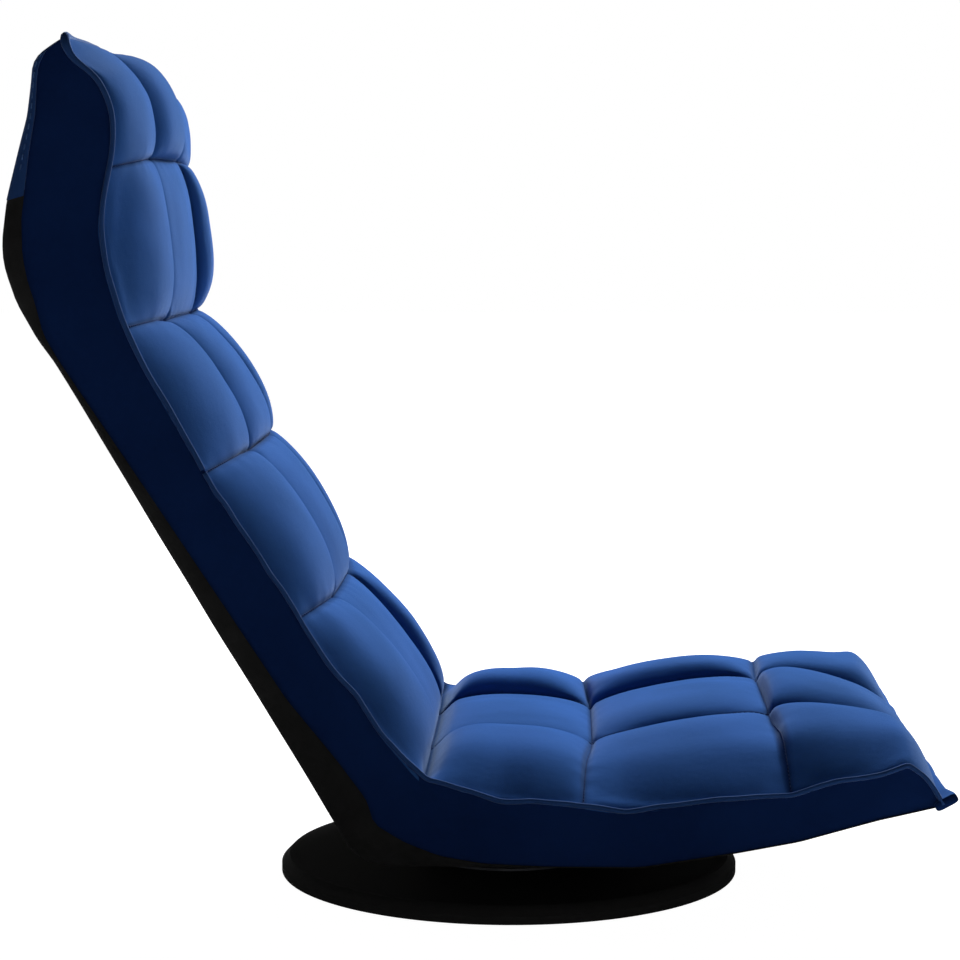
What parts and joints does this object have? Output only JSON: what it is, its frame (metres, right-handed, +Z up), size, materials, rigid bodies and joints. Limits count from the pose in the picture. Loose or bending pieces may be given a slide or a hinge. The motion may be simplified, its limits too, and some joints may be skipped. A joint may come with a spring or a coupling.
{
  "type": "floor chair",
  "caption": "Legless quilted floor chair on a swivel disc, with a reclining back and a folding head section.",
  "frame": {"origin": "centre of the underside of the base, on the floor", "axes": "+X towards the front of the seat, +Y across the seat, +Z up"},
  "size_m": [0.7405, 0.508, 0.714],
  "materials": {
    "disc_paint": "fibreboard disc, matt black lacquer",
    "foot_rubber": "dull rubber",
    "steel": "zinc plated",
    "frame_paint": "black powder coat",
    "blue_velvet": "royal blue velvet, quilted",
    "side_velvet": "dark blue velvet",
    "black_cloth": "black woven cover",
    "foam": "cut foam",
    "webbing": "elastic webbing"
  },
  "bodies": {
    "base": {"foot_ring": "foot_rubber", "base_disc": "disc_paint", "bearing_lower_plate": "steel", "bearing_lower_screws": "steel", "bearing_rivet": "steel"},
    "seat": {"bearing_upper_plate": "steel", "bearing_upper_bolts": "steel", "bearing_balls": "steel", "swivel_rails": "frame_paint", "frame_bolts": "steel", "seat_frame": "frame_paint", "seat_cross_tubes": "frame_paint", "seat_webbing": "webbing", "seat_foam": "foam", "seat_tufts": "blue_velvet", "seat_side_panels": "side_velvet", "seat_welts": "blue_velvet", "seat_front_facing": "blue_velvet", "front_hem_welt": "blue_velvet", "seat_bottom_cover": "black_cloth", "recline_toothed_plates": "steel", "recline_hinge_pins": "steel", "crease_gussets": "side_velvet", "hinge_wrap": "black_cloth"},
    "back": {"back_frame": "frame_paint", "back_cross_tubes": "frame_paint", "back_webbing": "webbing", "back_foam": "foam", "back_tufts": "blue_velvet", "lumbar_tufts": "blue_velvet", "back_side_panels": "side_velvet", "back_welts": "blue_velvet", "back_cover": "black_cloth", "recline_cheek_plates": "steel", "recline_cheek_rivets": "steel", "recline_pawl_springs": "steel", "head_toothed_plates": "steel", "head_hinge_pins": "steel", "neck_tufts": "blue_velvet", "neck_gussets": "side_velvet", "neck_wrap": "black_cloth"},
    "recline_pawls": {"recline_pawls": "steel"},
    "head": {"head_frame": "frame_paint", "head_webbing": "webbing", "head_foam": "foam", "head_tufts": "blue_velvet", "head_side_panels": "side_velvet", "head_welts": "blue_velvet", "head_back_cover": "blue_velvet", "head_cheek_plates": "steel", "head_cheek_rivets": "steel", "head_pawl_springs": "steel"},
    "head_pawls": {"head_pawls": "steel"}
  },
  "joints": [
    {"name": "swivel", "type": "hinge", "parent": "base", "child": "seat", "pos_m": [0, 0, 0.021], "axis": [0, 0, 1], "continuous": true},
    {"name": "recline", "type": "hinge", "parent": "seat", "child": "back", "pos_m": [-0.095, 0, 0.094], "axis": [0, 1, 0], "range_deg": [-60, 30], "deforming": ["crease_gussets", "hinge_wrap", "lumbar_tufts"]},
    {"name": "recline_pawl", "type": "hinge", "parent": "back", "child": "recline_pawls", "pos_m": [-0.13094, 0, 0.11497], "axis": [0, 1, 0], "range_deg": [0, 6], "stiffness_Nm_per_rad": 0.02},
    {"name": "head_fold", "type": "hinge", "parent": "back", "child": "head", "pos_m": [-0.36854, 0, 0.55378], "axis": [0, 1, 0], "range_deg": [-37.5, 22.5], "deforming": ["neck_gussets", "neck_wrap", "neck_tufts"]},
    {"name": "head_pawl", "type": "hinge", "parent": "head", "child": "head_pawls", "pos_m": [-0.37581, 0, 0.57798], "axis": [0, 1, 0], "range_deg": [0, 6], "stiffness_Nm_per_rad": 0.01}
  ]
}
